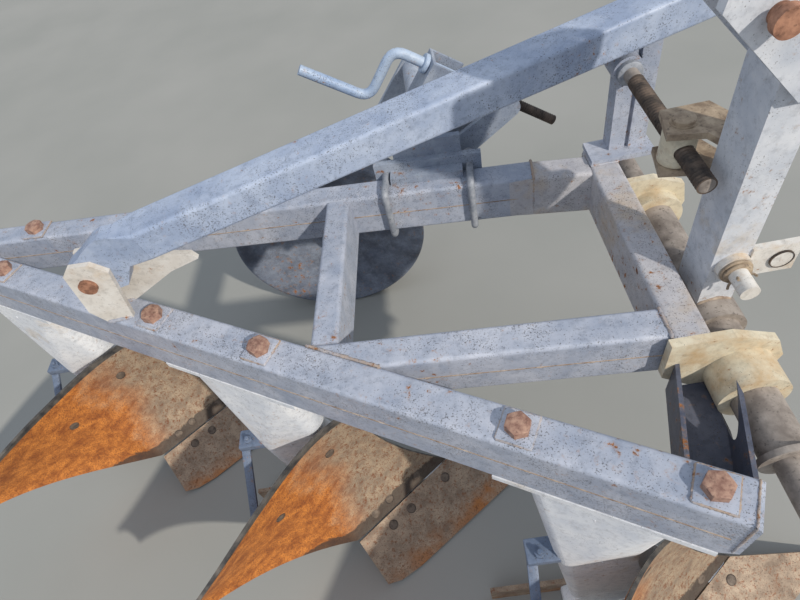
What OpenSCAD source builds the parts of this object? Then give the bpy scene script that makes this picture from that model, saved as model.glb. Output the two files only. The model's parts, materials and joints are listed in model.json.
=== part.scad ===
// Three-furrow tractor-mounted mouldboard plough.
// Millimetres. +X is the direction of travel, +Y the landside, +Z up, and z = 0 is the floor it stands on.
// Plan positions are measured from the front bolt of the first body; at_home() moves that to the row origin.

/* [Frame] */
// height of the frame's top face above the floor
frame_top = 878; // [858:1:898]
// height of the main beam
beam_h = 140; // [132:1:150]
// width of the main beam
beam_w = 68; // [64:1:72]
// height of the other frame tubes
tube_h = 107; // [100:1:114]
// width of the other frame tubes
tube_w = 60; // [56:1:64]
// wall of the frame tubes
tube_wall = 8; // [6:0.5:10]
// corner radius of the frame tubes
tube_r = 8; // [6:0.5:10]

/* [Bodies] */
// distance between bodies along the travel
pitch_x = 654; // [646:1:662]
// furrow width, the distance between bodies across the travel
pitch_y = 356; // [350:1:362]
// distance between the two bolts of a leg, as a part of the body distance
bolt_part = 0.356; // [0.34:0.002:0.37]
// thickness of mouldboards and shares
plate_t = 8; // [7:0.5:10]

/* [Headstock] */
// position of the cross shaft ahead of the first bolt
shaft_x = 153; // [151:1:156]
// height of the cross shaft
shaft_z = 780; // [777:1:783]
// radius of the cross shaft
shaft_r = 37; // [35:0.5:38]
// position of the mast's middle across the travel
mast_y = 371; // [368:1:374]
// radius of the lower link pins
lower_pin_r = 14; // [13:0.5:15]
// distance between the shoulders of the lower link pins
shoulder_w = 825; // [815:1:835]
// height of the top link pin above the lower ones
mast_h = 610; // [600:1:620]
// radius of the bore that takes the top link pin
top_bore_r = 12.9; // [12.8:0.1:13.5]
// radius of the width screw's thread
screw_r = 15; // [14:0.5:16]

/* [Depth wheel] */
// radius of the depth wheel
wheel_r = 333; // [325:1:341]
// position of the wheel's middle ahead of the first bolt
wheel_x = -678; // [-686:1:-670]
// position of the wheel's middle across the travel
wheel_y = 1246; // [1238:1:1254]
// width of the wheel's tread
tread_w = 132; // [124:1:140]

/* [Hidden] */
$fn = 48;
shift_x = 608.9;
shift_y = -467;
beam_angle = -atan(pitch_y / pitch_x);
pitch_along = sqrt(pitch_x * pitch_x + pitch_y * pitch_y);
bolt_gap = bolt_part * pitch_along;
beam_under = frame_top - beam_h;
run_gap = 0.06;
seat_gap = 0.3;
paint = "#8f98ab";
cream = "#cfc4a0";
white = "#d9d9de";
rust = "#a5632f";
brown = "#7b604c";
steel = "#66605c";
black = "#2b2b2e";
// ends of the main beam, measured along it from the front bolt
beam_nose = 58;
beam_tail = 1847;
beam_heading = [-pitch_x, pitch_y] / pitch_along;
beam_front = -beam_nose * beam_heading;
beam_rear = beam_tail * beam_heading;
// how far cutting shapes run past what they cut
past_end = 300;
// ends of the other frame tubes in plan: x, y of each end
land_front = [-77, 706];
land_rear = [-1631, 884];
land_join = 680;
cross_x = 66;
cross_far = 730;
cross_near = 235;
mid_front = [66, 267];
mid_rear = [-561, 317];
brace_far = [-504, 754];
brace_near = [-537, 316];

module at_home() {
    translate([shift_x, shift_y, 0])
        children();
}

// Frame tubes

function run_of(a, b) = norm(b - a);
function heading(a, b) = atan2(b[1] - a[1], b[0] - a[0]);
function along(a, b, d) = a + (b - a) * d / norm(b - a);
function unit(a) = a / norm(a);
function lerp(a, b, t) = a + (b - a) * t;

module rounded_rect(w, h, r) {
    square([w - 2 * r, h], center = true);
    square([w, h - 2 * r], center = true);
    for (sx = [-1, 1], sy = [-1, 1])
        translate([sx * (w / 2 - r), sy * (h / 2 - r)])
            circle(r = r, $fn = 24);
}

// A bar of any section lies between two plan points with its top at frame_top.
module lay_tube(a, b, h) {
    translate([a[0], a[1], frame_top - h / 2])
        rotate([0, 0, heading(a, b)])
            rotate([90, 0, 90])
                linear_extrude(run_of(a, b))
                    children();
}

module box_tube(a, b, w, h) {
    lay_tube(a, b, h)
        difference() {
            rounded_rect(w, h, tube_r);
            rounded_rect(w - 2 * tube_wall, h - 2 * tube_wall, tube_r / 2);
        }
}

// A cutting bar, 1 mm past the tube's top and underside.
module solid_bar(a, b, w, h) {
    lay_tube(a, b, h)
        square([w, h + 2], center = true);
}

module beam_space() {
    solid_bar(along(beam_front, beam_rear, -past_end), along(beam_rear, beam_front, -past_end), beam_w, beam_h);
}

module landside_space() {
    solid_bar(land_front, along(land_rear, land_front, -past_end), tube_w, tube_h);
}

module middle_space() {
    solid_bar(mid_front, mid_rear, tube_w, tube_h);
}

module cross_space() {
    solid_bar([cross_x, 0], [cross_x, 900], tube_w, tube_h);
}

module main_beam() {
    color(paint)
        at_home()
            difference() {
                lay_tube(beam_front, beam_rear, beam_h)
                    rounded_rect(beam_w, beam_h, tube_r);
                lay_tube(along(beam_front, beam_rear, tube_wall), along(beam_rear, beam_front, -past_end), beam_h)
                    rounded_rect(beam_w - 2 * tube_wall, beam_h - 2 * tube_wall, tube_r / 2);
                translate([beam_front[0], beam_front[1], beam_under])
                    rotate([0, 0, beam_angle])
                        rotate([0, 45, 0])
                            cube([40, beam_w + 4, 40], center = true);
                translate([beam_front[0], beam_front[1], frame_top])
                    rotate([0, 0, beam_angle])
                        rotate([0, 45, 0])
                            cube([14, beam_w + 4, 14], center = true);
            }
}

module landside_tube() {
    color(paint)
        at_home()
            difference() {
                box_tube(land_front, land_rear, tube_w, tube_h);
                beam_space();
            }
}

module landside_front() {
    color(paint)
        at_home()
            difference() {
                box_tube([cross_x, land_join], along(land_front, land_rear, 50), tube_w, tube_h);
                cross_space();
                landside_space();
            }
}

module cross_tube() {
    color(paint)
        at_home()
            box_tube([cross_x, cross_near], [cross_x, cross_far], tube_w, tube_h);
}

module middle_tube() {
    color(paint)
        at_home()
            difference() {
                box_tube(mid_front, mid_rear, tube_w, tube_h);
                cross_space();
                beam_space();
            }
}

module brace_tube() {
    color(paint)
        at_home()
            difference() {
                box_tube(brace_far, brace_near, tube_w - 8, tube_h);
                beam_space();
                middle_space();
                landside_space();
            }
}

// Mouldboard surface: a point of the front face, u from the shin to the tail, v from the share up

function bezier(a, b, c, d, t) = lerp(lerp(lerp(a, b, t), lerp(b, c, t), t), lerp(lerp(b, c, t), lerp(c, d, t), t), t);
function bend3(a, b, c, t) = lerp(lerp(a, b, t), lerp(b, c, t), t);
seam_part = 0.4;
seam_in = [260, 77, 90];
seam_out = [-13, -120, 90];
// control points of the lower edge behind the share, and of the upper edge
foot_line = [seam_out, [-231, -123, 60], [-270, -251, 317], [-440, -350, 310]];
crown_line = [[50, 78, 398], [-130, -28, 527], [-186, -353, 522], [-430, -412, 405]];
function foot(u) = u < seam_part
    ? lerp(seam_in, seam_out, u / seam_part)
    : bezier(foot_line[0], foot_line[1], foot_line[2], foot_line[3], (u - seam_part) / (1 - seam_part));
function crown(u) = bezier(crown_line[0], crown_line[1], crown_line[2], crown_line[3], u);
function belly(u) = bend3([-37, 0, -28], [-14, 52, -24], [-6, 18, 0], u);
function face_at(u, v) = lerp(foot(u), crown(u), v) + belly(u) * 4 * v * (1 - v);
function out_at(u, v) = unit(cross(
    face_at(min(u + 0.02, 1), v) - face_at(max(u - 0.02, 0), v),
    face_at(u, max(v - 0.02, 0)) - face_at(u, min(v + 0.02, 1))));

board_u = 20;
board_v = 9;

// A shell between the board's surface at two depths; depth is measured behind the front face.
module board_shell(depth_a, depth_b, push) {
    nu = board_u;
    nv = board_v;
    row = nv + 1;
    layer = (nu + 1) * row;
    front = [for (i = [0 : nu], j = [0 : nv])
        face_at(i / nu, j / nv) - out_at(i / nu, j / nv) * depth_a + push];
    back = [for (i = [0 : nu], j = [0 : nv])
        face_at(i / nu, j / nv) - out_at(i / nu, j / nv) * depth_b];
    faces = concat(
        [for (i = [0 : nu - 1], j = [0 : nv - 1]) [i * row + j, (i + 1) * row + j, i * row + j + 1]],
        [for (i = [0 : nu - 1], j = [0 : nv - 1]) [(i + 1) * row + j, (i + 1) * row + j + 1, i * row + j + 1]],
        [for (i = [0 : nu - 1], j = [0 : nv - 1])
            [layer + i * row + j, layer + i * row + j + 1, layer + (i + 1) * row + j]],
        [for (i = [0 : nu - 1], j = [0 : nv - 1])
            [layer + (i + 1) * row + j, layer + i * row + j + 1, layer + (i + 1) * row + j + 1]],
        [for (i = [0 : nu - 1]) [i * row, layer + i * row, (i + 1) * row]],
        [for (i = [0 : nu - 1]) [layer + i * row, layer + (i + 1) * row, (i + 1) * row]],
        [for (i = [0 : nu - 1]) [i * row + nv, (i + 1) * row + nv, layer + i * row + nv]],
        [for (i = [0 : nu - 1]) [layer + i * row + nv, (i + 1) * row + nv, layer + (i + 1) * row + nv]],
        [for (j = [0 : nv - 1]) [j, j + 1, layer + j]],
        [for (j = [0 : nv - 1]) [layer + j, j + 1, layer + j + 1]],
        [for (j = [0 : nv - 1]) [nu * row + j, layer + nu * row + j, nu * row + j + 1]],
        [for (j = [0 : nv - 1]) [layer + nu * row + j, layer + nu * row + j + 1, nu * row + j + 1]]);
    polyhedron(points = concat(front, back), faces = faces);
}

module at_body(k) {
    at_home()
        translate([-(k - 1) * pitch_x, (k - 1) * pitch_y, 0])
            children();
}

module mouldboard(k) {
    color(rust)
        at_body(k)
            board_shell(0, plate_t, [0, 0, 0]);
}

// Share: a flat blade on its cutting edge, rising inward

land_y = 78;
share_tip = [534, land_y, 0];
share_turn = 180 + 33.8;
share_slope = 29;

module share_blade(t_low, t_high) {
    translate(share_tip)
        rotate([0, 0, share_turn])
            rotate([-share_slope, 0, 0])
                translate([0, 0, t_low])
                    linear_extrude(t_high - t_low)
                        polygon([[0, 0], [472, 0], [535, -8], [571, -24], [566, -160], [228, -174]]);
}

module share(k) {
    color(brown)
        at_body(k)
            share_blade(0, plate_t);
}

module landside_bar(k) {
    color(brown)
        at_body(k)
            translate([0, land_y, 0])
                rotate([90, 0, 0])
                    linear_extrude(12)
                        polygon([[-330, 0], [500, 0], [500, 4], [272, 73], [-330, 73]]);
}

// Leg: from under the beam down to the frog, which carries board, share and landside

leg_mid = bolt_gap / 2;

module slot_form(length, width) {
    for (s = [-1, 1])
        translate([s * (length - width) / 2, 0])
            circle(d = width, $fn = 32);
}

module under_beam(z, t) {
    translate([-leg_mid * cos(beam_angle), -leg_mid * sin(beam_angle), z])
        rotate([0, 0, beam_angle])
            linear_extrude(t)
                children();
}

module leg_form() {
    under_beam(beam_under - 14, 14)
        square([340, beam_w], center = true);
    hull() {
        under_beam(beam_under - 40, 26)
            slot_form(232, 60);
        translate([-92, 66, 420])
            linear_extrude(10)
                slot_form(180, 74);
    }
}

module frog_form() {
    difference() {
        union() {
            hull() {
                translate([-92, 66, 410])
                    linear_extrude(10)
                        slot_form(180, 74);
                translate([20, 46, 40])
                    linear_extrude(10)
                        slot_form(300, 40);
            }
            translate([0, land_y - 12, 0])
                rotate([90, 0, 0])
                    linear_extrude(40)
                        polygon([[-150, 40], [-150, 4], [430, 4], [430, 28], [240, 88], [120, 120], [-100, 120]]);
        }
        board_shell(1, 3, [700, -900, 120]);
        share_blade(-seat_gap, 500);
        translate([-400, land_y - 12, -10])
            cube([1200, 100, 140]);
    }
}

module body_leg(k) {
    color(white)
        at_body(k)
            difference() {
                union() {
                    leg_form();
                    frog_form();
                }
                board_shell(0, plate_t + seat_gap, [0, 0, 0]);
            }
}

// Stay that holds the board's tail from the back of the leg
module board_stay(k) {
    color(paint)
        at_body(k)
            difference() {
                union() {
                    translate([-240, 40, 408])
                        cube([90, 52, 22]);
                    stay_strap([-226, 62, 419], [-325, -313, 305]);
                }
                translate([-145, 66, 400])
                    cylinder(r = 37 + seat_gap, h = 40);
                translate([-145, 66 - 37 - seat_gap, 400])
                    cube([200, 74, 40]);
                leg_form();
                board_shell(0, plate_t + seat_gap, [0, 0, 0]);
                board_shell(1, 3, [700, -900, 120]);
            }
}

module stay_strap(a, b) {
    run = b - a;
    translate(a)
        rotate([0, 0, atan2(run[1], run[0])])
            rotate([0, -asin(run[2] / norm(run)), 0])
                translate([0, -5, -11])
                    cube([norm(run), 10, 22]);
}

// Headstock: cross shaft, mast and the pins a tractor takes

ring_r = shaft_r + 19;
ring_front = 160;
plate_right_y = 219;
plate_left_y = 614;
shoulder_right = mast_y - shoulder_w / 2;
shoulder_left = mast_y + shoulder_w / 2;
flange_right = 53;
flange_left = 679;
flange_r = 44;
stub_r = 24;
mast_back = 124;
mast_front = 182;
mast_w = 80;
mast_top = 1400;
sleeve_r = 49;
sleeve_from = 294;
sleeve_to = 447;
top_x = 215;
tie_x = 83;
tie_z = 1339;
tie_r = 12.5;

// a round bar along Y between two positions
module cross_bar(x, z, from, to, r) {
    translate([x, to, z])
        rotate([90, 0, 0])
            cylinder(r = r, h = to - from);
}

// a plate that stands along the travel, from y to y + t, its outline in X and Z
module upright_plate(y, t) {
    translate([0, y + t, 0])
        rotate([90, 0, 0])
            linear_extrude(t)
                children();
}

module plate_right() {
    color(cream)
        at_home()
            difference() {
                union() {
                    upright_plate(plate_right_y, cross_near - plate_right_y)
                        polygon([[28, 878], [126, 878], [200, 846], [220, 800], [206, 734], [110, 724], [28, 786]]);
                    cross_bar(shaft_x, shaft_z, ring_front, plate_right_y, ring_r);
                }
                cross_bar(shaft_x, shaft_z, 100, 400, shaft_r + run_gap);
            }
}

module plate_left() {
    edge = cross_x + tube_w / 2;
    color(cream)
        at_home()
            difference() {
                union() {
                    upright_plate(plate_left_y, 16)
                        polygon([[edge, 868], [150, 868], [212, 840], [222, 790], [204, 728], [120, 724], [edge, 774]]);
                    cross_bar(shaft_x, shaft_z, plate_left_y - 26, plate_left_y, ring_r);
                }
                cross_bar(shaft_x, shaft_z, 500, 700, shaft_r + run_gap);
            }
}

module front_channel() {
    turn = 16.6;
    wide = 93;
    deep = 84;
    color(paint)
        at_home()
            difference() {
                translate([91, plate_right_y, frame_top - 53 - deep])
                    rotate([0, 0, -90 - turn])
                        translate([-40, 0, 0])
                            rotate([90, 0, 90])
                                linear_extrude(330)
                                    difference() {
                                        translate([-wide / 2, 0])
                                            square([wide, deep]);
                                        translate([-wide / 2 + 7, 7])
                                            square([wide - 14, deep]);
                                    }
                translate([-200, plate_right_y, 500])
                    cube([600, 200, 400]);
                cross_bar(shaft_x, shaft_z, 0, 400, ring_r + seat_gap);
                beam_space();
                translate([beam_front[0], beam_front[1], 500])
                    rotate([0, 0, beam_angle])
                        translate([-400, -400, 0])
                            cube([700, 400, 400]);
            }
}

module cross_shaft() {
    color(steel)
        at_home() {
            cross_bar(shaft_x, shaft_z, flange_right, flange_left, shaft_r);
            cross_bar(shaft_x, shaft_z, flange_right, flange_right + 10, flange_r);
            cross_bar(shaft_x, shaft_z, flange_left - 10, flange_left, flange_r);
            cross_bar(shaft_x, shaft_z, shoulder_right, flange_right, stub_r);
            cross_bar(shaft_x, shaft_z, flange_left, shoulder_left, stub_r);
            cross_bar(shaft_x, shaft_z, shoulder_right - 72, shoulder_right, lower_pin_r);
            cross_bar(shaft_x, shaft_z, shoulder_left, shoulder_left + 72, lower_pin_r);
            cross_bar(shaft_x, shaft_z, sleeve_from, sleeve_to, sleeve_r);
        }
}

module mast() {
    color(white)
        at_home()
            difference() {
                translate([mast_back, mast_y - mast_w / 2, shaft_z])
                    cube([mast_front - mast_back, mast_w, mast_top - shaft_z]);
                translate([mast_back + 7, mast_y - mast_w / 2 + 7, shaft_z - 1])
                    cube([mast_front - mast_back - 14, mast_w - 14, mast_top]);
                cross_bar(shaft_x, shaft_z, 200, 600, sleeve_r);
            }
}

// Plate with a plug and a short pipe, low on the mast's front
module mast_lug() {
    color(cream)
        at_home() {
            upright_plate(mast_y - mast_w / 2 - 4, 12)
                polygon([[mast_front, 884], [258, 884], [258, 946], [mast_front, 946]]);
            cross_bar(232, 915, mast_y - mast_w / 2 - 7, mast_y - mast_w / 2 - 4, 17);
            cross_bar(158, 915, mast_y - mast_w / 2 - 62, mast_y - mast_w / 2, 15);
            cross_bar(158, 915, mast_y - mast_w / 2 - 12, mast_y - mast_w / 2, 27);
        }
}

module mast_plate(y) {
    upright_plate(y, 16)
        difference() {
            polygon([[24, 1350], [30, 1392], [170, 1425], [238, 1425], [252, 1395], [246, 1350], [205, 1262],
                [182, 1222], [143, 1222]]);
            translate([top_x, shaft_z + mast_h])
                circle(r = top_bore_r);
            translate([tie_x, tie_z])
                circle(r = tie_r + run_gap);
        }
}

module top_link_plates() {
    color(white)
        at_home() {
            mast_plate(mast_y - mast_w / 2 - 16);
            mast_plate(mast_y + mast_w / 2);
        }
}

module tie_pin() {
    color(rust)
        at_home() {
            cross_bar(tie_x, tie_z, mast_y - mast_w / 2 - 28, mast_y + mast_w / 2 + 34, tie_r);
            cross_bar(tie_x, tie_z, mast_y - mast_w / 2 - 40, mast_y - mast_w / 2 - 28, 17);
        }
}

// Width screw between the post and the mast

screw_x = 95;
screw_z = 1070;
nut_y = 466;
post_y = 702;

module trunnion_plate(z) {
    face = mast_y + mast_w / 2;
    translate([0, 0, z])
        linear_extrude(11)
            difference() {
                polygon([[62, 441], [74, 504], [149, 504], [mast_front, face + 12], [mast_front, face],
                    [mast_back, face], [mast_back - 8, face + 18]]);
                translate([screw_x, nut_y])
                    circle(r = 13 + run_gap);
            }
}

module trunnion_plates() {
    color(cream)
        at_home() {
            trunnion_plate(screw_z + 29);
            trunnion_plate(screw_z - 40);
        }
}

module width_nut() {
    color(cream)
        at_home()
            difference() {
                union() {
                    translate([screw_x, nut_y, screw_z - 28])
                        cylinder(r = 27, h = 56);
                    translate([screw_x, nut_y, screw_z - 46])
                        cylinder(r = 13, h = 91);
                }
                cross_bar(screw_x, screw_z, 400, 600, screw_r + run_gap);
            }
}

module width_screw() {
    color(black)
        at_home() {
            cross_bar(screw_x, screw_z, 360, 768, screw_r);
            cross_bar(screw_x, screw_z, post_y - 24, post_y - 12.5, 23);
            cross_bar(screw_x, screw_z, post_y + 41.5, post_y + 53, 23);
        }
}

// Upright post and back stay

stay_w = 76;
stay_h = 66;
stay_back = [-830, 538, 1042.5];
stay_front = [236, 747, 1157];
stay_turn = atan2(stay_front[1] - stay_back[1], stay_front[0] - stay_back[0]);
stay_rise = asin((stay_front[2] - stay_back[2]) / norm(stay_front - stay_back));

module in_stay() {
    translate(stay_back)
        rotate([0, 0, stay_turn])
            rotate([0, -stay_rise, 0])
                children();
}

module stay_block(w, h, from, to) {
    in_stay()
        translate([from, 0, 0])
            rotate([90, 0, 90])
                linear_extrude(to - from)
                    rounded_rect(w, h, tube_r);
}

module back_stay() {
    run = norm(stay_front - stay_back);
    color(paint)
        at_home()
            difference() {
                stay_block(stay_w, stay_h, 0, run);
                stay_block(stay_w - 12, stay_h - 12, 6, run + 1);
            }
}

module post() {
    color(paint)
        at_home()
            difference() {
                union() {
                    translate([40, post_y - 26, frame_top])
                        cube([129, 66, 11]);
                    translate([0, 0, frame_top + 10])
                        linear_extrude(300)
                            polygon([[82, post_y], [113, post_y], [113, post_y + 10], [121, post_y + 10],
                                [121, post_y], [155, post_y], [155, post_y + 38], [121, post_y + 38],
                                [121, post_y + 28], [113, post_y + 28], [113, post_y + 38], [82, post_y + 38]]);
                    cross_bar(screw_x, screw_z, post_y - 12, post_y + 41, 28);
                }
                cross_bar(screw_x, screw_z, 600, 900, screw_r + run_gap);
                in_stay()
                    translate([-10, -300, -stay_h / 2])
                        cube([2000, 600, 400]);
            }
}

// Lugs on the main beam that take the stay's rear end

lug_near = 499.5;
lug_far = 548.5;
lug_t = 11;
lug_pin_x = -962;
lug_pin_z = 985;
lug_pin_r = 10.5;

module stay_lugs() {
    color(cream)
        at_home()
            difference() {
                union() {
                    upright_plate(lug_near - lug_t / 2, lug_t)
                        polygon([[-990, 878], [-934, 878], [-908, 1008], [-932, 1034], [-973, 1036], [-992, 1018],
                            [-1008, 915]]);
                    upright_plate(lug_far - lug_t / 2, lug_t)
                        polygon([[-1000, 878], [-940, 878], [-832, 936], [-766, 956], [-774, 972], [-850, 990],
                            [-930, 1034], [-980, 1030], [-1006, 930]]);
                }
                cross_bar(lug_pin_x, lug_pin_z, 400, 700, lug_pin_r + run_gap);
            }
}

module stay_pin() {
    color(rust)
        at_home() {
            cross_bar(lug_pin_x, lug_pin_z, lug_near - lug_t / 2 - 7, 566, lug_pin_r);
            cross_bar(lug_pin_x, lug_pin_z, lug_near - lug_t / 2 - 7, lug_near - lug_t / 2, 17);
        }
}

// The stay's flattened end between the lugs
module stay_tongue() {
    near = lug_near + lug_t / 2 + 0.5;
    far = lug_far - lug_t / 2 - 0.5;
    color(paint)
        at_home() {
            difference() {
                upright_plate(near, far - near)
                    polygon([[-995, 1012], [-990, 962], [-940, 950], [-900, 958], [-871, 1004], [-871, 1078],
                        [-892, 1078], [-912, 1070], [-953, 1042], [-989, 1021]]);
                cross_bar(lug_pin_x, lug_pin_z, 400, 700, lug_pin_r + run_gap);
            }
            hull() {
                upright_plate(near, far - near)
                    polygon([[-873, 1003], [-870, 1003], [-870, 1077], [-873, 1077]]);
                stay_block(stay_w, stay_h, -1, -seat_gap);
            }
        }
}

// Depth wheel with its clamp, bracket, arm and screw

arm_x = -289;
arm_y = 864;
arm_z = 826;
drive_x = -98;
drive_z = 954;
wheel_z = wheel_r;
depth_tilt = 36.5;
collar_run = 182;
arm_in = 826;
arm_out = wheel_y + tread_w / 2 + 10;
// half the width of the depth nut
nut_half = 15;

module in_depth_screw() {
    translate([drive_x, arm_y, drive_z])
        rotate([0, depth_tilt, 0])
            children();
}

// a round bar along the depth screw, measured from the nut's middle towards the crank
module screw_bar(from, to, r) {
    in_depth_screw()
        translate([-to, 0, 0])
            rotate([0, 90, 0])
                cylinder(r = r, h = to - from);
}

land_clamp = along(land_front, land_rear, 224.5);

// the landside tube's own frame, from the clamp's middle at its top face
module in_land() {
    translate([land_clamp[0], land_clamp[1], frame_top])
        rotate([0, 0, heading(land_rear, land_front)])
            children();
}

module wheel_clamp() {
    color(paint)
        at_home()
            in_land() {
                translate([-118, tube_w / 2, -128])
                    cube([238, 16, 164]);
                translate([-82, 2, 0])
                    cube([160, tube_w / 2 - 2, 17]);
                translate([-82, tube_w / 2 - 1, 0])
                    cube([160, 2, 17]);
            }
}

module clamp_bolts() {
    near = -tube_w / 2 - 9;
    color(steel)
        at_home()
            in_land()
                for (x = [-94, 93]) {
                    translate([x, near, -tube_h - 9])
                        cylinder(r = 8, h = tube_h + 18);
                    for (z = [9, -tube_h - 9]) {
                        cross_bar(x, z, near, tube_w / 2 - 0.1, 8);
                        translate([x, near, z])
                            sphere(r = 8, $fn = 32);
                    }
                }
}

module wheel_bracket() {
    color(paint)
        at_home() {
            in_land() {
                translate([-100, tube_w / 2 + 16, -114])
                    cube([200, 14, 140]);
                translate([-72, tube_w / 2 + 16, 25])
                    cube([150, 14, 52]);
            }
            cross_bar(arm_x, arm_z, 781, arm_in - 6, 38);
            cross_bar(arm_x, arm_z, arm_in - 7, arm_out + 24, 16);
            cross_bar(arm_x, arm_z, arm_out + 16.5, arm_out + 24, 26);
        }
}

// Leaning channel that holds the depth screw's collar
module screw_tower() {
    near = arm_y - 34;
    color(paint)
        at_home()
            difference() {
                in_depth_screw() {
                    translate([-collar_run - 17, near - arm_y, -170])
                        cube([7, 68, 190]);
                    for (y = [near - arm_y, 27])
                        translate([-collar_run - 17, y, -170])
                            cube([82, 7, 190]);
                    translate([-collar_run - 17, near - arm_y - 78, -170])
                        cube([82, 78, 60]);
                }
                screw_bar(collar_run - 60, collar_run + 60, 11 + run_gap);
                in_land()
                    translate([-300, -100, -200])
                        cube([600, 100 + tube_w / 2 + 30, 500]);
            }
}

module arm_plate(y, t, x, z, r) {
    hull() {
        cross_bar(arm_x, arm_z, y, y + t, 34);
        cross_bar(x, z, y, y + t, r);
    }
}

module wheel_arm() {
    fork_in = arm_y - 38;
    fork_out = arm_y + 27;
    color(paint)
        at_home()
            difference() {
                union() {
                    cross_bar(arm_x, arm_z, fork_in, arm_out + 16, 28);
                    for (y = [fork_in, fork_out])
                        arm_plate(y, 11, drive_x, drive_z, 24);
                    cross_bar(drive_x, drive_z, fork_in, arm_y - nut_half - 0.5, 12);
                    cross_bar(drive_x, drive_z, arm_y + nut_half + 0.5, fork_out + 11, 12);
                    arm_plate(arm_out, 16, wheel_x, wheel_z, 34);
                    cross_bar(wheel_x, wheel_z, wheel_y - 52, arm_out, 20);
                    cross_bar(wheel_x, wheel_z, wheel_y - 58, wheel_y - 46, 30);
                    cross_bar(wheel_x, wheel_z, wheel_y + 46, arm_out, 28);
                }
                cross_bar(arm_x, arm_z, 800, arm_out + 30, 16 + run_gap);
            }
}

module depth_nut() {
    color(steel)
        at_home()
            difference() {
                in_depth_screw()
                    cube([42, 2 * nut_half, 38], center = true);
                screw_bar(-60, 60, 11 + run_gap);
            }
}

// Screw with a crank: the arm drops from the bend and the grip runs back
module depth_screw() {
    bend = 279;
    drop = 116;
    grip = 158;
    color(black)
        at_home() {
            screw_bar(-132, bend, 11);
            screw_bar(collar_run + 17.5, collar_run + 28, 20);
            screw_bar(collar_run - 75, collar_run - 65.5, 20);
            in_depth_screw() {
                translate([-bend, 0, 0])
                    sphere(r = 11, $fn = 32);
                translate([-bend, 0, -drop])
                    cylinder(r = 11, h = drop);
                translate([-bend, 0, -drop])
                    sphere(r = 11, $fn = 32);
                translate([-bend - grip, 0, -drop])
                    rotate([0, 90, 0])
                        cylinder(r = 11, h = grip);
            }
        }
}

// A pressed disc that closes the near side, dished towards the hub, with the tread behind it
module depth_wheel() {
    near = tread_w / 2;
    color(paint)
        at_home()
            translate([wheel_x, wheel_y, wheel_z])
                rotate([90, 0, 0])
                    rotate_extrude($fn = 96)
                        polygon([[20 + run_gap, -45], [44, -45], [44, 14], [90, 16], [160, 24], [230, near - 28],
                            [290, near - 15], [wheel_r - 9, near - 12], [wheel_r - 8, -near], [wheel_r, -near],
                            [wheel_r, near - 8], [wheel_r - 4, near - 2], [wheel_r - 12, near],
                            [290, near - 7], [230, near - 20], [160, 32], [90, 24], [44, 22], [44, 45],
                            [20 + run_gap, 45]]);
}

main_beam();
landside_tube();
landside_front();
cross_tube();
middle_tube();
brace_tube();
body_leg(1);  // body_leg_1
body_leg(2);  // body_leg_2
body_leg(3);  // body_leg_3
mouldboard(1);  // mouldboard_1
mouldboard(2);  // mouldboard_2
mouldboard(3);  // mouldboard_3
share(1);  // share_1
share(2);  // share_2
share(3);  // share_3
landside_bar(1);  // landside_1
landside_bar(2);  // landside_2
landside_bar(3);  // landside_3
board_stay(1);  // board_stay_1
board_stay(2);  // board_stay_2
board_stay(3);  // board_stay_3
plate_right();
plate_left();
front_channel();
post();
back_stay();
stay_tongue();
stay_lugs();
stay_pin();
cross_shaft();
mast();
mast_lug();
top_link_plates();
tie_pin();
trunnion_plates();
width_nut();
width_screw();
wheel_clamp();
clamp_bolts();
wheel_bracket();
screw_tower();
wheel_arm();
depth_nut();
depth_screw();
depth_wheel();
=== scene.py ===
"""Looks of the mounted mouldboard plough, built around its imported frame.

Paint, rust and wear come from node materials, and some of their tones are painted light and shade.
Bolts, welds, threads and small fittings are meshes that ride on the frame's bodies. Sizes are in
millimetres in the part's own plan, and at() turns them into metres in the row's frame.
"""

import json
import math
import random

import bmesh
import bpy
from mathutils import Matrix, Vector


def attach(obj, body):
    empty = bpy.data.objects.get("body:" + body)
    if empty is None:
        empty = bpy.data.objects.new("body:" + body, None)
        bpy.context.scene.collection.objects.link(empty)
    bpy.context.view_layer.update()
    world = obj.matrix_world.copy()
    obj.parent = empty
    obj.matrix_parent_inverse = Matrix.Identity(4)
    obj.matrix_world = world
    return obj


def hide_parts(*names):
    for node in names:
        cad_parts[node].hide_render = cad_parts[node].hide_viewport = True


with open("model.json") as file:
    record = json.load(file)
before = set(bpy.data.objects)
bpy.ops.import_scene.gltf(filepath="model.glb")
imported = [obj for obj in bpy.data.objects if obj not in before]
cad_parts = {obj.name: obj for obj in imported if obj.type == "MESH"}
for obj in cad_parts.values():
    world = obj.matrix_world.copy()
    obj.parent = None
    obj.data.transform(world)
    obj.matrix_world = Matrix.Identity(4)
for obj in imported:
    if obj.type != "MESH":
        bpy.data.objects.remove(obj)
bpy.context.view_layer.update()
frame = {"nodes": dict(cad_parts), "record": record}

# Sizes shared with the part's source, in millimetres

SHIFT_X = 608.9
SHIFT_Y = -467.0
FRAME_TOP = 878.0
BEAM_W = 68.0
BEAM_H = 140.0
TUBE_W = 60.0
TUBE_H = 107.0
PITCH_X = 654.0
PITCH_Y = 356.0
BOLT_PART = 0.356
BEAM_FRONT = (51.0, -28.0)
BEAM_REAR = (-1622.0, 882.7)
LAND_FRONT = (-77.0, 706.0)
LAND_REAR = (-1631.0, 884.0)
MID_FRONT = (66.0, 267.0)
MID_REAR = (-561.0, 317.0)
CROSS_REAR_X = 36.0


def at(x, y, z):
    """A point of the plough's plan, in metres in the row's frame."""
    return Vector(((x + SHIFT_X) / 1000, (y + SHIFT_Y) / 1000, z / 1000))


# Material nodes


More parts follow.
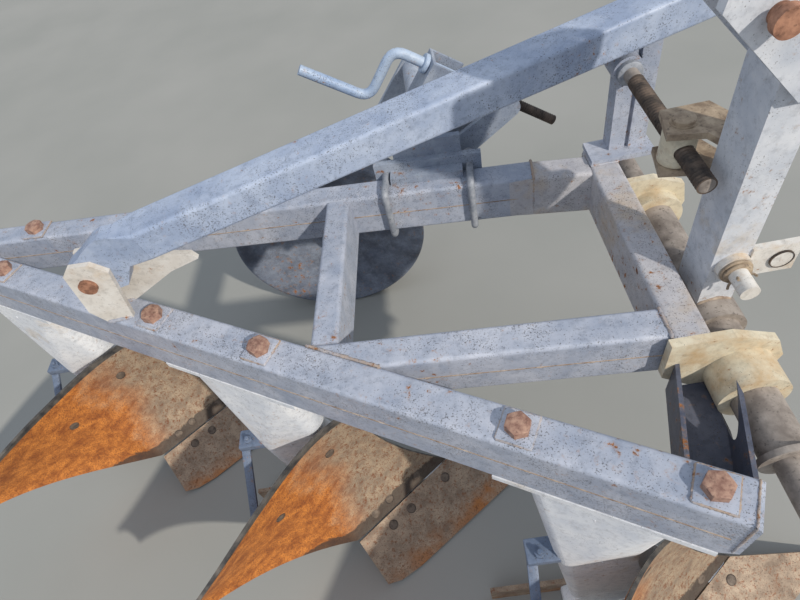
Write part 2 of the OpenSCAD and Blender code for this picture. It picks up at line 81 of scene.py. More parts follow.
class Nodes:
    """A small helper that adds nodes and links to a material."""

    def __init__(self, name):
        self.material = bpy.data.materials.new(name)
        self.material.use_nodes = True
        self.tree = self.material.node_tree
        self.shader = self.tree.nodes["Principled BSDF"]
        self.place = self.tree.nodes.new("ShaderNodeTexCoord").outputs["Object"]

    def link(self, source, target):
        self.tree.links.new(source, target)

    def put(self, value, socket):
        """Gives a socket a colour, a number or another node's output."""
        if isinstance(value, tuple):
            socket.default_value = (*value, 1.0)
        elif isinstance(value, (int, float)):
            socket.default_value = value
        else:
            self.link(value, socket)

    def shift(self, x, y):
        """Measures places from a point of the row's frame, in metres."""
        node = self.tree.nodes.new("ShaderNodeVectorMath")
        node.operation = "SUBTRACT"
        node.inputs[1].default_value = (x, y, 0.0)
        self.link(self.place, node.inputs[0])
        self.place = node.outputs["Vector"]

    def scaled(self, factors, turn):
        """Places that are stretched by factors and turned about Z."""
        node = self.tree.nodes.new("ShaderNodeMapping")
        node.inputs["Scale"].default_value = factors
        node.inputs["Rotation"].default_value = (0.0, 0.0, turn)
        self.link(self.place, node.inputs["Vector"])
        return node.outputs["Vector"]

    def noise(self, scale, detail, rough, place=None, warp=0.0):
        node = self.tree.nodes.new("ShaderNodeTexNoise")
        node.inputs["Scale"].default_value = scale
        node.inputs["Detail"].default_value = detail
        node.inputs["Roughness"].default_value = rough
        node.inputs["Distortion"].default_value = warp
        self.link(place or self.place, node.inputs["Vector"])
        return node.outputs["Fac"]

    def ramp(self, value, low, high, start=0.0, end=1.0):
        """Goes from start to end while value goes from low to high."""
        node = self.tree.nodes.new("ShaderNodeMapRange")
        node.clamp = True
        node.inputs["From Min"].default_value = low
        node.inputs["From Max"].default_value = high
        node.inputs["To Min"].default_value = start
        node.inputs["To Max"].default_value = end
        self.link(value, node.inputs["Value"])
        return node.outputs["Result"]

    def math(self, kind, a, b):
        node = self.tree.nodes.new("ShaderNodeMath")
        node.operation = kind
        self.put(a, node.inputs[0])
        self.put(b, node.inputs[1])
        return node.outputs["Value"]

    def mix(self, amount, a, b):
        node = self.tree.nodes.new("ShaderNodeMix")
        node.data_type = "RGBA"
        colour_sockets = [socket for socket in node.inputs if socket.type == "RGBA"]
        for socket, value in zip((node.inputs["Factor"], *colour_sockets), (amount, a, b)):
            self.put(value, socket)
        return [socket for socket in node.outputs if socket.type == "RGBA"][0]

    def axis(self, letter):
        node = self.tree.nodes.new("ShaderNodeSeparateXYZ")
        self.link(self.place, node.inputs["Vector"])
        return node.outputs[letter]

    def bump(self, height, strength, distance):
        node = self.tree.nodes.new("ShaderNodeBump")
        node.inputs["Strength"].default_value = strength
        node.inputs["Distance"].default_value = distance
        self.link(height, node.inputs["Height"])
        self.link(node.outputs["Normal"], self.shader.inputs["Normal"])

    def finish(self, colour, rough, metal=0.0):
        self.put(colour, self.shader.inputs["Base Color"])
        self.put(rough, self.shader.inputs["Roughness"])
        self.put(metal, self.shader.inputs["Metallic"])
        return self.material


RUST_DARK = (0.07, 0.028, 0.012)
RUST_MID = (0.22, 0.085, 0.028)
RUST_ORANGE = (0.45, 0.19, 0.06)
RUST_HALO = (0.36, 0.22, 0.13)
DIRT = (0.05, 0.042, 0.035)


def rust_colour(n, scale):
    """Rust that goes from dark brown to orange in patches."""
    broad = n.noise(scale, 5.0, 0.6)
    fine = n.noise(scale * 14, 3.0, 0.6)
    first = n.mix(n.ramp(broad, 0.38, 0.62), RUST_DARK, RUST_MID)
    return n.mix(n.ramp(fine, 0.5, 0.72), first, RUST_ORANGE)


def painted(name, base, pale, rust_at, specks_at, stain=None, stain_at=None):
    """Old brushed-on paint: uneven tone, fine dark specks, brown stains, and rust that shows in spots."""
    n = Nodes(name)
    broad = n.noise(2.6, 5.0, 0.6)
    cloudy = n.noise(17.0, 5.0, 0.65)
    tone = n.math("ADD", n.math("MULTIPLY", broad, 0.5), n.math("MULTIPLY", cloudy, 0.5))
    colour = n.mix(n.ramp(tone, 0.40, 0.60), base, pale)
    if stain is not None:
        stained = n.ramp(n.noise(6.0, 6.0, 0.7), stain_at, stain_at + 0.14, 0.0, 0.75)
        colour = n.mix(stained, colour, stain)
    mottle = n.noise(70.0, 4.0, 0.7)
    colour = n.mix(n.ramp(mottle, 0.50, 0.68, 0.0, 0.42), colour, tuple(c * 0.55 for c in base))
    dots = n.noise(380.0, 3.0, 0.6)
    areas = n.ramp(n.noise(11.0, 4.0, 0.6), 0.35, 0.65, -0.045, 0.045)
    specks = n.ramp(n.math("ADD", dots, areas), specks_at, specks_at + 0.05, 0.0, 0.72)
    colour = n.mix(specks, colour, DIRT)
    spots = n.noise(60.0, 5.0, 0.66)
    patches = n.ramp(n.noise(3.4, 4.0, 0.6), 0.35, 0.75, -0.09, 0.09)
    rusting = n.math("ADD", spots, patches)
    rust = n.ramp(rusting, rust_at - 0.03, rust_at + 0.03)
    halo = n.ramp(rusting, rust_at - 0.10, rust_at, 0.0, 0.35)
    colour = n.mix(halo, colour, RUST_HALO)
    colour = n.mix(rust, colour, rust_colour(n, 30.0))
    pits = n.math("ADD", n.math("MULTIPLY", rust, 0.5), specks)
    n.bump(n.math("SUBTRACT", n.math("MULTIPLY", cloudy, 0.35), pits), 0.35, 0.0010)
    return n.finish(colour, n.ramp(rust, 0.0, 1.0, 0.5, 0.9))


def worn_board(name, x, y):
    """Mouldboard steel: worn grey by the share, rusty towards the tail, with painted shade on the bent
    strip just above the seam.
    """
    n = Nodes(name)
    n.shift(x, y)
    flow = n.scaled((1.0, 0.30, 1.0), 0.9)
    broad = n.noise(5.0, 6.0, 0.65)
    mid = n.noise(30.0, 6.0, 0.7, flow, 0.3)
    dashes = n.noise(95.0, 4.0, 0.7, flow)
    specks = n.noise(330.0, 3.0, 0.6)
    grey = n.mix(n.ramp(mid, 0.35, 0.65), (0.20, 0.15, 0.11), (0.36, 0.28, 0.195))
    rust = n.mix(n.ramp(mid, 0.38, 0.62), (0.27, 0.078, 0.014), (0.60, 0.215, 0.04))
    rust = n.mix(n.ramp(specks, 0.50, 0.62, 0.0, 0.85), rust, (0.13, 0.04, 0.014))
    tailward = n.math("ADD", n.axis("X"), n.math("MULTIPLY", broad, 0.26))
    tailward = n.math("ADD", tailward, n.math("MULTIPLY", mid, 0.10))
    worn = n.ramp(tailward, 0.10, 0.19)
    colour = n.mix(worn, rust, grey)
    marks = n.math("MULTIPLY", n.ramp(dashes, 0.54, 0.62), n.ramp(specks, 0.40, 0.55, 0.3, 1.0))
    colour = n.mix(n.math("MULTIPLY", marks, worn), colour, (0.15, 0.045, 0.014))
    colour = n.mix(n.math("MULTIPLY", n.ramp(specks, 0.58, 0.64), worn), colour, (0.19, 0.06, 0.02))
    # painted shade: a dark band on the bent strip just above the seam
    by_seam = n.math("ADD", n.axis("Z"), n.math("MULTIPLY", mid, -0.05))
    seam_shade = n.ramp(by_seam, 0.094, 0.100, 1.0, 0.0)
    colour = n.mix(n.math("MULTIPLY", seam_shade, 0.85), colour, (0.035, 0.026, 0.022))
    n.bump(n.math("ADD", mid, n.math("MULTIPLY", specks, 0.7)), 0.5, 0.0013)
    return n.finish(colour, n.ramp(mid, 0.3, 0.7, 0.8, 0.58), n.math("MULTIPLY", worn, 0.15))


def worn_share(name):
    """Share steel: brown-grey with rust speckles."""
    n = Nodes(name)
    mid = n.noise(26.0, 6.0, 0.66)
    broad = n.noise(4.5, 5.0, 0.6)
    specks = n.noise(300.0, 3.0, 0.6)
    dots = n.noise(120.0, 4.0, 0.6)
    colour = n.mix(n.ramp(mid, 0.36, 0.64), (0.20, 0.145, 0.105), (0.37, 0.28, 0.20))
    low = n.ramp(n.math("ADD", n.axis("Z"), n.math("MULTIPLY", mid, 0.08)), 0.05, 0.075, 1.0, 0.0)
    orange = n.math("MULTIPLY", n.ramp(broad, 0.42, 0.62), low)
    colour = n.mix(orange, colour, (0.40, 0.16, 0.05))
    colour = n.mix(n.ramp(dots, 0.55, 0.66, 0.0, 0.85), colour, (0.20, 0.07, 0.025))
    colour = n.mix(n.ramp(specks, 0.56, 0.68, 0.0, 0.8), colour, (0.07, 0.035, 0.02))
    n.bump(n.math("ADD", mid, n.math("MULTIPLY", specks, 0.7)), 0.5, 0.0013)
    return n.finish(colour, n.ramp(mid, 0.3, 0.7, 0.75, 0.55), 0.1)


def brown_steel(name, dark, light, metal, scale):
    """Brown weathered steel."""
    n = Nodes(name)
    mid = n.noise(scale, 6.0, 0.62)
    fine = n.noise(160.0, 3.0, 0.6)
    colour = n.mix(n.ramp(mid, 0.36, 0.64), dark, light)
    colour = n.mix(n.ramp(fine, 0.58, 0.72, 0.0, 0.7), colour, tuple(c * 0.4 for c in dark))
    n.bump(n.math("ADD", mid, n.math("MULTIPLY", fine, 0.5)), 0.5, 0.0012)
    return n.finish(colour, n.ramp(mid, 0.3, 0.7, 0.75, 0.55), metal)


# name, base and pale tone, level of rust and of specks (lower gives more), and a stain's tone and level
PAINTS = (
    # frame_paint: grey paint whose bluish tint is partly real and partly painted skylight of the shade
    ("frame_paint", (0.28, 0.32, 0.41), (0.45, 0.475, 0.55), 0.665, 0.60),
    ("cross_paint", (0.36, 0.36, 0.40), (0.50, 0.49, 0.51), 0.655, 0.60, (0.44, 0.35, 0.26), 0.50),
    ("weld_paint", (0.28, 0.30, 0.36), (0.44, 0.44, 0.48), 0.60, 0.60, (0.36, 0.25, 0.16), 0.44),
    # stay_paint: grey paint whose blue tint is partly real and partly painted skylight of the shade
    ("stay_paint", (0.27, 0.33, 0.46), (0.42, 0.48, 0.60), 0.70, 0.60),
    ("bracket_paint", (0.22, 0.26, 0.34), (0.36, 0.40, 0.47), 0.67, 0.60),
    ("tail_paint", (0.10, 0.14, 0.22), (0.17, 0.21, 0.29), 0.68, 0.60),
    # leg_paint: the grey paint made near white, which is painted sunlight on the legs
    ("leg_paint", (0.60, 0.63, 0.69), (0.79, 0.80, 0.82), 0.71, 0.64, (0.58, 0.50, 0.40), 0.60),
    ("mast_paint", (0.46, 0.49, 0.55), (0.66, 0.67, 0.70), 0.69, 0.65, (0.50, 0.42, 0.32), 0.60),
    ("cream_paint", (0.56, 0.49, 0.36), (0.70, 0.64, 0.50), 0.66, 0.66, (0.47, 0.30, 0.14), 0.50),
    ("lug_paint", (0.56, 0.52, 0.47), (0.70, 0.68, 0.65), 0.69, 0.66, (0.52, 0.36, 0.20), 0.56),
    # channel_paint: the grey paint made near black, which is painted shade in and on the channel
    ("channel_paint", (0.045, 0.055, 0.09), (0.10, 0.11, 0.15), 0.62, 0.60),
    ("wheel_paint", (0.10, 0.12, 0.17), (0.22, 0.25, 0.31), 0.66, 0.60, (0.05, 0.055, 0.075), 0.48),
    ("crank_paint", (0.27, 0.36, 0.52), (0.44, 0.52, 0.63), 0.70, 0.60),
)

# name, dark and light tone, metallic share, and scale of the patches
STEELS = (
    ("plate_rust", (0.20, 0.145, 0.10), (0.42, 0.33, 0.235), 0.0, 45.0),
    ("mouldboard_steel", (0.20, 0.075, 0.03), (0.40, 0.17, 0.06), 0.0, 22.0),
    ("board_edge", (0.03, 0.03, 0.032), (0.13, 0.115, 0.10), 0.2, 40.0),
    ("bolt_dark", (0.075, 0.055, 0.042), (0.17, 0.13, 0.10), 0.1, 80.0),
    ("rusty_steel", (0.17, 0.075, 0.045), (0.42, 0.21, 0.13), 0.0, 60.0),
    ("shaft_steel", (0.20, 0.17, 0.15), (0.42, 0.37, 0.33), 0.2, 22.0),
    ("thread_steel", (0.035, 0.028, 0.025), (0.14, 0.10, 0.075), 0.2, 40.0),
    ("bolt_steel", (0.20, 0.22, 0.26), (0.34, 0.36, 0.40), 0.1, 50.0),
    ("bolt_rust", (0.20, 0.10, 0.075), (0.42, 0.26, 0.19), 0.0, 90.0),
    ("weld_rust", (0.21, 0.145, 0.105), (0.42, 0.34, 0.27), 0.0, 60.0),
)


def make_materials():
    """The materials by name: those of the record's slots, and more for the boards and small fittings."""
    made = {paint[0]: painted(*paint) for paint in PAINTS}
    made |= {steel[0]: brown_steel(*steel) for steel in STEELS}
    made["share_steel"] = worn_share("share_steel")
    for k in range(3):
        x = (SHIFT_X - k * PITCH_X) / 1000
        y = (SHIFT_Y + k * PITCH_Y) / 1000
        made[f"worn_board_{k + 1}"] = worn_board(f"worn_board_{k + 1}", x, y)
    return made


materials = make_materials()

# Each node takes its slot's material, apart from those whose paint differs from it

MATERIAL_OF = {
    "cross_tube": "cross_paint",
    "landside_front": "cross_paint",
    "stay_lugs": "lug_paint",
    "mast_lug": "lug_paint",
    "trunnion_plates": "plate_rust",
}
slot_of = {part["node"]: part["material_slot"] for part in frame["record"]["subparts"]}
for node_name, node_object in frame["nodes"].items():
    node_object.data.materials.clear()
    node_object.data.materials.append(materials[MATERIAL_OF.get(node_name, slot_of[node_name])])

# Mesh helpers


def add_piece(name, bm, material, body, smooth=40.0):
    """Makes an object of a bmesh in the row's frame, with its material, riding on a body."""
    mesh = bpy.data.meshes.new(name)
    bmesh.ops.recalc_face_normals(bm, faces=bm.faces)
    bm.to_mesh(mesh)
    bm.free()
    mesh.materials.append(materials[material])
    piece = bpy.data.objects.new(name, mesh)
    bpy.context.scene.collection.objects.link(piece)
    mesh.shade_smooth()
    mesh.set_sharp_from_angle(angle=math.radians(smooth))
    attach(piece, body)
    return piece


def basis(axis, toward=None):
    """A rotation whose Z is axis and whose X is as near toward as it can be."""
    z = Vector(axis).normalized()
    if toward is None:
        toward = (1, 0, 0) if abs(z.x) < 0.9 else (0, 1, 0)
    hint = Vector(toward)
    x = (hint - z * hint.dot(z)).normalized()
    return Matrix((x, z.cross(x), z)).transposed()


def about(centre, turn, radius, angle, along):
    """A point about an axis through centre, which turn's Z gives; radius and along are in millimetres."""
    local = Vector((radius * math.cos(angle), radius * math.sin(angle), along)) / 1000
    return Vector(centre) + turn @ local


def ring_surface(bm, rings, hollow=False):
    """Joins rings of points, all of one length, into a skin: capped, or closed on itself if hollow."""
    made = [[bm.verts.new(point) for point in ring] for ring in rings]
    count = len(rings[0])
    for first, second in zip(made, made[1:] + (made[:1] if hollow else [])):
        for i in range(count):
            j = (i + 1) % count
            bm.faces.new((first[i], first[j], second[j], second[i]))
    if not hollow:
        bm.faces.new(list(reversed(made[0])))
        bm.faces.new(made[-1])


def lathe(bm, centre, axis, profile, steps=40, hollow=False):
    """Turns (along, radius) pairs, in millimetres, about an axis through centre."""
    turn = basis(axis)
    angles = [math.tau * i / steps for i in range(steps)]
    rings = [[about(centre, turn, radius, angle, along) for angle in angles] for along, radius in profile]
    ring_surface(bm, rings, hollow)


def collar(bm, centre, axis, length, radius, slope, rim):
    """A round collar or washer: at both ends its radius shrinks by slope over the length of rim."""
    small = radius - slope
    lathe(bm, centre, axis, ((0, small), (rim, radius), (length - rim, radius), (length, small)))


def hex_solid(bm, centre, axis, across, height, turn_deg):
    """A hexagon head or nut with chamfered corners, its foot at centre."""
    turn = basis(axis)
    steps = 48
    flat = across / 2
    top_radius = flat * 0.94
    chamfer_slope = 0.5
    crown_height = 0.3

    def corner(angle):
        return flat / math.cos((angle + math.pi / 6) % (math.pi / 3) - math.pi / 6)

    def ring(radius_of, height_of):
        points = []
        for i in range(steps):
            angle = math.tau * i / steps
            radius = radius_of(angle)
            turned = angle + math.radians(turn_deg)
            points.append(about(centre, turn, radius, turned, height_of(radius)))
        return points

    rings = [
        ring(corner, lambda r: 0.0),
        ring(corner, lambda r: height - max(0.0, r - top_radius) * chamfer_slope),
        ring(lambda a: top_radius, lambda r: height),
        ring(lambda a: top_radius * 0.3, lambda r: height + crown_height),
    ]
    ring_surface(bm, rings)


def block(bm, centre, turn, size, bevel):
    """A box of size (x, y, z) in millimetres with softened edges."""
    half = Vector(size) / 2000
    made = []
    for x in (-half.x, half.x):
        for y in (-half.y, half.y):
            for z in (-half.z, half.z):
                made.append(bm.verts.new(Vector(centre) + turn @ Vector((x, y, z))))
    quads = ((0, 1, 3, 2), (4, 6, 7, 5), (0, 4, 5, 1), (2, 3, 7, 6), (0, 2, 6, 4), (1, 5, 7, 3))
    faces = [bm.faces.new([made[i] for i in quad]) for quad in quads]
    edges = list({edge for face in faces for edge in face.edges})
    bmesh.ops.bevel(bm, geom=edges, offset=bevel / 1000, segments=2, affect="EDGES", profile=0.5)


# the least distance between a bead's rings, in metres, and their number of sides
BEAD_STEP = 0.0022
BEAD_SIDES = 8
# a bead's range of swelling, how fast it follows, its ripples' height, and the share left at its ends
BEAD_SWELL = (0.75, 1.2)
BEAD_FOLLOW = 0.35
BEAD_RIPPLE = 0.12
BEAD_END = 0.55


def bead(bm, points, radius, seed, rough, closed=False):
    """An uneven weld bead along points in the row's frame, its radius in millimetres."""
    rng = random.Random(seed)
    step = max(BEAD_STEP, radius * 0.0009)
    path = [Vector(p) for p in points]
    if closed:
        path.append(path[0])
    dense = []
    for a, b in zip(path, path[1:]):
        count = max(1, int((b - a).length / step))
        dense += [a.lerp(b, i / count) for i in range(count)]
    dense.append(path[-1])
    last = len(dense) - 1
    rings = []
    travelled = 0.0
    swell = 1.0
    for i, point in enumerate(dense):
        tangent = (dense[min(i + 1, last)] - dense[max(i - 1, 0)]).normalized()
        turn = basis(tangent, (0.1, 0.2, 1.0) if abs(tangent.z) < 0.9 else (1.0, 0.0, 0.1))
        travelled += step
        swell += (rng.uniform(*BEAD_SWELL) - swell) * BEAD_FOLLOW
        ripple = 1 + BEAD_RIPPLE * math.sin(travelled * 1000 * math.tau / (radius * 1.6))
        size = radius * swell * ripple * (BEAD_END if i in (0, last) else 1.0) / 1000
        ring = []
        for k in range(BEAD_SIDES):
            angle = math.tau * k / BEAD_SIDES
            bump = size * (1 + rng.uniform(-rough, rough) * 0.5)
            ring.append(point + turn @ Vector((bump * math.cos(angle), bump * math.sin(angle), 0)))
        rings.append(ring)
    ring_surface(bm, rings)


def add_bead(name, points, radius, seed, rough, material="weld_paint", body="frame", closed=False):
    """Makes a piece of one weld bead."""
    bm = bmesh.new()
    bead(bm, points, radius, seed, rough, closed)
    add_piece(name, bm, material, body, 60.0)


def screw_thread(bm, start, end, crest, depth, pitch, steps):
    """A threaded rod between two points; crest, depth and pitch are in millimetres."""
    axis = Vector(end) - Vector(start)
    turn = basis(axis)
    length = axis.length * 1000
    rows_per_pitch = 6
    rows = int(length / pitch * rows_per_pitch)
    rings = []
    for row in range(rows + 1):
        along = length * row / rows
        fade = min(1.0, along / pitch, (length - along) / pitch + 0.15)
        ring = []
        for i in range(steps):
            phase = (along / pitch + i / steps) % 1.0
            tooth = abs(phase * 2 - 1)
            radius = crest - depth * min(1.0, max(0.0, tooth * 1.7 - 0.35)) * fade
            ring.append(about(start, turn, radius, math.tau * i / steps, along))
        rings.append(ring)
    ring_surface(bm, rings)


def rounded_path(points, corner, steps=6):
    """Points in metres with each inner corner turned into an arc of about that radius, in millimetres."""
    path = [Vector(points[0])]
    for before, here, after in zip(points, points[1:], points[2:]):
        before, here, after = Vector(before), Vector(here), Vector(after)
        back = before - here
        ahead = after - here
        cut = min(corner / 1000, back.length * 0.49, ahead.length * 0.49)
        a = here + back.normalized() * cut
        b = here + ahead.normalized() * cut
        for i in range(steps + 1):
            t = i / steps
            path.append(a.lerp(here, t).lerp(here.lerp(b, t), t))
    path.append(Vector(points[-1]))
    return path


def swept_bar(bm, path, radius, steps=20):
    """A round bar along a path, its frame carried from point to point."""
    rings = []
    side = basis(path[1] - path[0]).col[0]
    for i, point in enumerate(path):
        tangent = (path[min(i + 1, len(path) - 1)] - path[max(i - 1, 0)]).normalized()
        side = (side - tangent * side.dot(tangent)).normalized()
        other = tangent.cross(side)
        ring = []
        for k in range(steps):
            angle = math.tau * k / steps
            ring.append(point + (side * math.cos(angle) + other * math.sin(angle)) * radius / 1000)
        rings.append(ring)
    ring_surface(bm, rings)


# Directions and points on the frame

UP = Vector((0, 0, 1))
ACROSS = Vector((0, 1, 0))


def heading(front, rear):
    """The direction of a tube in the plan, from its rear end to its front end."""
    return Vector((front[0] - rear[0], front[1] - rear[1], 0)).normalized()


def furrow_side(direction):
    """The direction across a tube, towards the furrow side."""
    return Vector((direction.y, -direction.x, 0))


beam_dir = heading(BEAM_FRONT, BEAM_REAR)
land_dir = heading(LAND_FRONT, LAND_REAR)
mid_dir = heading(MID_FRONT, MID_REAR)
beam_side = furrow_side(beam_dir)
land_side = furrow_side(land_dir)
mid_side = furrow_side(mid_dir)


def on_tube(start, direction, distance, side, z):
    """A point of a tube: distance back from start, offset towards the furrow side, height."""
    point = Vector((*start, 0)) - direction * distance + furrow_side(direction) * side
    return at(point.x, point.y, z)


def on_beam(distance, side, z):
    return on_tube(BEAM_FRONT, beam_dir, distance, side, z)


def on_land(distance, side, z):
    return on_tube(LAND_FRONT, land_dir, distance, side, z)


# Bolts on the frame with their pads

LEG_BOLTS = [
    (-k * PITCH_X - part * PITCH_X, k * PITCH_Y + part * PITCH_Y)
    for k in range(3)
    for part in (0.0, BOLT_PART)
]
LAND_BOLT_RUN = 1206
PAD_SIZE = 54.0
PAD_T = 4.0
HEAD_ACROSS = 36.0
HEAD_H = 16.0


def make_pad(name, centre, direction, seed):
    """A square pad welded round its edge, on a face that looks up."""
    turn = basis(UP, direction)
    bm = bmesh.new()
    block(bm, centre + UP * (PAD_T / 2000), turn, (PAD_SIZE, PAD_SIZE, PAD_T), bevel=0.8)
    add_piece(name, bm, "frame_paint", "frame")
    half = PAD_SIZE / 2000
    square = ((-half, -half), (half, -half), (half, half), (-half, half))
    corners = [centre + turn @ Vector((x, y, 0.001)) for x, y in square]
    add_bead(f"{name}_weld", corners, radius=2.4, seed=seed, rough=0.5, closed=True)


def make_frame_bolt(pad_name, bolt_name, centre, direction, seed, turn_deg):
    """A hexagon bolt on its pad."""
    make_pad(pad_name, centre, direction, seed)
    bm = bmesh.new()
    hex_solid(bm, centre + UP * (PAD_T / 1000), UP, HEAD_ACROSS, HEAD_H, turn_deg)
    add_piece(bolt_name, bm, "bolt_rust", "frame")


for bolt_number, (bolt_x, bolt_y) in enumerate(LEG_BOLTS, 1):
    make_frame_bolt(
        f"pad_{bolt_number}", f"leg_bolt_{bolt_number}",
        at(bolt_x, bolt_y, FRAME_TOP), beam_dir, bolt_number, 17.0 * bolt_number)
make_frame_bolt("pad_land", "land_bolt", on_land(LAND_BOLT_RUN, 0, FRAME_TOP), land_dir, 11, 10.0)


# Rusty seams along the near sides of the tubes

BEAM_SEAM_Z = FRAME_TOP - 66.0
TUBE_SEAM_Z = FRAME_TOP - TUBE_H * 0.5
MID_SEAM_FRONT = (CROSS_REAR_X, 269.4)
MID_SEAM_REAR = (-470.0, 309.7)


def make_seams():
    beam_near = BEAM_W / 2
    near = TUBE_W / 2
    runs = (
        ("beam_seam", on_beam(22, beam_near, BEAM_SEAM_Z), on_beam(1900, beam_near, BEAM_SEAM_Z)),
        ("land_seam", on_land(6, near, TUBE_SEAM_Z), on_land(1430, near, TUBE_SEAM_Z)),
        (
            "middle_seam",
            on_tube(MID_SEAM_FRONT, mid_dir, 0, near, TUBE_SEAM_Z),
            on_tube(MID_SEAM_REAR, mid_dir, 0, near, TUBE_SEAM_Z),
        ),
    )
    for seed, (name, start, end) in enumerate(runs, 30):
        add_bead(name, (start, end), radius=1.3, seed=seed, rough=0.4, material="weld_rust")


make_seams()


# Width screw

SCREW_X = 95.0
SCREW_Z = 1070.0
POST_Y = 702.0
NUT_Y = 466.0
NUT_TOP = 1110.1
THREAD_FROM = 361.0
THREAD_TO = 652.0
# (along, radius) pairs in millimetres
WIDTH_BAR = ((0, 13.5), (117, 13.5), (118.5, 12.0))
WIDTH_END = ((0, 3), (0.2, 11.5), (1.5, 13.0), (3, 13.0))


def on_width_screw(y):
    return at(SCREW_X, y, SCREW_Z)


def make_width_screw():
    bm = bmesh.new()
    start = on_width_screw(THREAD_FROM)
    end = on_width_screw(THREAD_TO)
    screw_thread(bm, start, end, crest=14.9, depth=2.6, pitch=7.0, steps=28)
    threaded = add_piece("width_screw_thread", bm, "thread_steel", "frame", 50.0)
    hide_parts("width_screw")
    bm = bmesh.new()
    lathe(bm, on_width_screw(THREAD_TO - 2), ACROSS, WIDTH_BAR)
    add_piece("width_screw_bar", bm, "shaft_steel", "frame")
    bm = bmesh.new()
    for y in (POST_Y - 24, POST_Y + 41.5):
        collar(bm, on_width_screw(y), ACROSS, length=11.5, radius=23, slope=2, rim=1.5)
    add_piece("width_screw_collars", bm, "bolt_steel", "frame")
    bm = bmesh.new()
    lathe(bm, on_width_screw(THREAD_FROM - 1), ACROSS, WIDTH_END)
    add_piece("width_screw_end", bm, "shaft_steel", "frame")


# Depth screw with its crank

DRIVE_X = -98.0
DRIVE_Z = 954.0
ARM_Y = 864.0
DEPTH_TILT = math.radians(36.5)
CRANK_BEND = 279
CRANK_DROP = 116
CRANK_GRIP = 158
DEPTH_BAR_RADIUS = 10.9
# run from and to of the thread, run from of the crank, and run from and length of its collars
DEPTH_THREAD = (-132, 108)
CRANK_FROM = 106
DEPTH_COLLARS = ((107, 9.5), (199.5, 10.5))


def on_depth_screw(run, lift=0.0):
    """A point by the depth screw: distance from its nut towards the crank, and square to it."""
    x = DRIVE_X - run * math.cos(DEPTH_TILT) + lift * math.sin(DEPTH_TILT)
    z = DRIVE_Z + run * math.sin(DEPTH_TILT) + lift * math.cos(DEPTH_TILT)
    return at(x, ARM_Y, z)


def make_depth_screw():
    bm = bmesh.new()
    start, end = (on_depth_screw(run) for run in DEPTH_THREAD)
    screw_thread(bm, start, end, crest=DEPTH_BAR_RADIUS, depth=2.0, pitch=5.5, steps=24)
    threaded = add_piece("depth_screw_thread", bm, "thread_steel", "frame", 50.0)
    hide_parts("depth_screw")
    corners = (
        on_depth_screw(CRANK_FROM),
        on_depth_screw(CRANK_BEND),
        on_depth_screw(CRANK_BEND, -CRANK_DROP),
        on_depth_screw(CRANK_BEND + CRANK_GRIP, -CRANK_DROP),
    )
    bm = bmesh.new()
    swept_bar(bm, rounded_path(corners, corner=30), DEPTH_BAR_RADIUS)
    add_piece("crank", bm, "crank_paint", "frame")
    bm = bmesh.new()
    along = on_depth_screw(1) - on_depth_screw(0)
    for run, length in DEPTH_COLLARS:
        collar(bm, on_depth_screw(run), along, length, radius=20, slope=1.5, rim=1.5)
    add_piece("depth_screw_collars", bm, "crank_paint", "frame")


make_width_screw()
make_depth_screw()


# U-bolts round the landside tube

CLAMP_AT = (-300.0, 731.5)
BOLT_RUNS = (-94.0, 93.0)
U_BAR_RADIUS = 7.9
U_BAR_OFF = 9


def by_clamp(run, side, lift):
    """A point by the wheel clamp: along the tube, towards the furrow side, above the frame's top."""
    middle = Vector((*CLAMP_AT, 0)) + land_dir * run + land_side * side
    return at(middle.x, middle.y, FRAME_TOP + lift)


def make_u_bolts():
    near = TUBE_W / 2 + U_BAR_OFF
    inside = -TUBE_W / 2 + 0.2
    low = -TUBE_H - U_BAR_OFF
    bm = bmesh.new()
    for run in BOLT_RUNS:
        sides = ((inside, U_BAR_OFF), (near, U_BAR_OFF), (near, low), (inside, low))
        corners = [by_clamp(run, side, lift) for side, lift in sides]
        swept_bar(bm, rounded_path(corners, corner=16, steps=8), U_BAR_RADIUS)
    u_bolts = add_piece("u_bolts", bm, "bolt_steel", "frame")
    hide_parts("clamp_bolts")


make_u_bolts()


# Mouldboards with a dark upper edge, and the flush bolts of boards and shares

BODIES = (1, 2, 3)
SEAM_PART = 0.4
SEAM_IN = Vector((260, 77, 90))
SEAM_OUT = Vector((-13, -120, 90))
FOOT_LINE = (SEAM_OUT, Vector((-231, -123, 60)), Vector((-270, -251, 317)), Vector((-440, -350, 310)))
CROWN_LINE = (
    Vector((50, 78, 398)),
    Vector((-130, -28, 527)),
    Vector((-186, -353, 522)),
    Vector((-430, -412, 405)),
)
BELLY = (Vector((-37, 0, -28)), Vector((-14, 52, -24)), Vector((-6, 18, 0)))
# the crown rises towards the shin, behind the beam
SHIN_PART = 0.45
SHIN_RISE = Vector((22, -24, 96))
BOARD_T = 7.9
BOARD_COLUMNS = 72
BOARD_ROWS = 30


def bezier(points, t):
    """A point of a Bezier curve with any number of control points."""
    while len(points) > 1:
        points = [a.lerp(b, t) for a, b in zip(points, points[1:])]
    return points[0]


def board_point(u, v):
    """A point of the board's front in its body's plan: u from the shin to the tail, v from the share up."""
    if u < SEAM_PART:
        foot = SEAM_IN.lerp(SEAM_OUT, u / SEAM_PART)
    else:
        foot = bezier(FOOT_LINE, (u - SEAM_PART) / (1 - SEAM_PART))
    crown = bezier(CROWN_LINE, u) + SHIN_RISE * max(0.0, 1 - u / SHIN_PART) ** 2
    return foot.lerp(crown, v) + bezier(BELLY, u) * 4 * v * (1 - v)


def board_normal(u, v):
    step = 0.01
    along = board_point(min(u + step, 1), v) - board_point(max(u - step, 0), v)
    down = board_point(u, max(v - step, 0)) - board_point(u, min(v + step, 1))
    return along.cross(down).normalized()


def at_body(k, point):
    """A point of body k's plan, in the row's frame."""
    return at(point.x - (k - 1) * PITCH_X, point.y + (k - 1) * PITCH_Y, point.z)


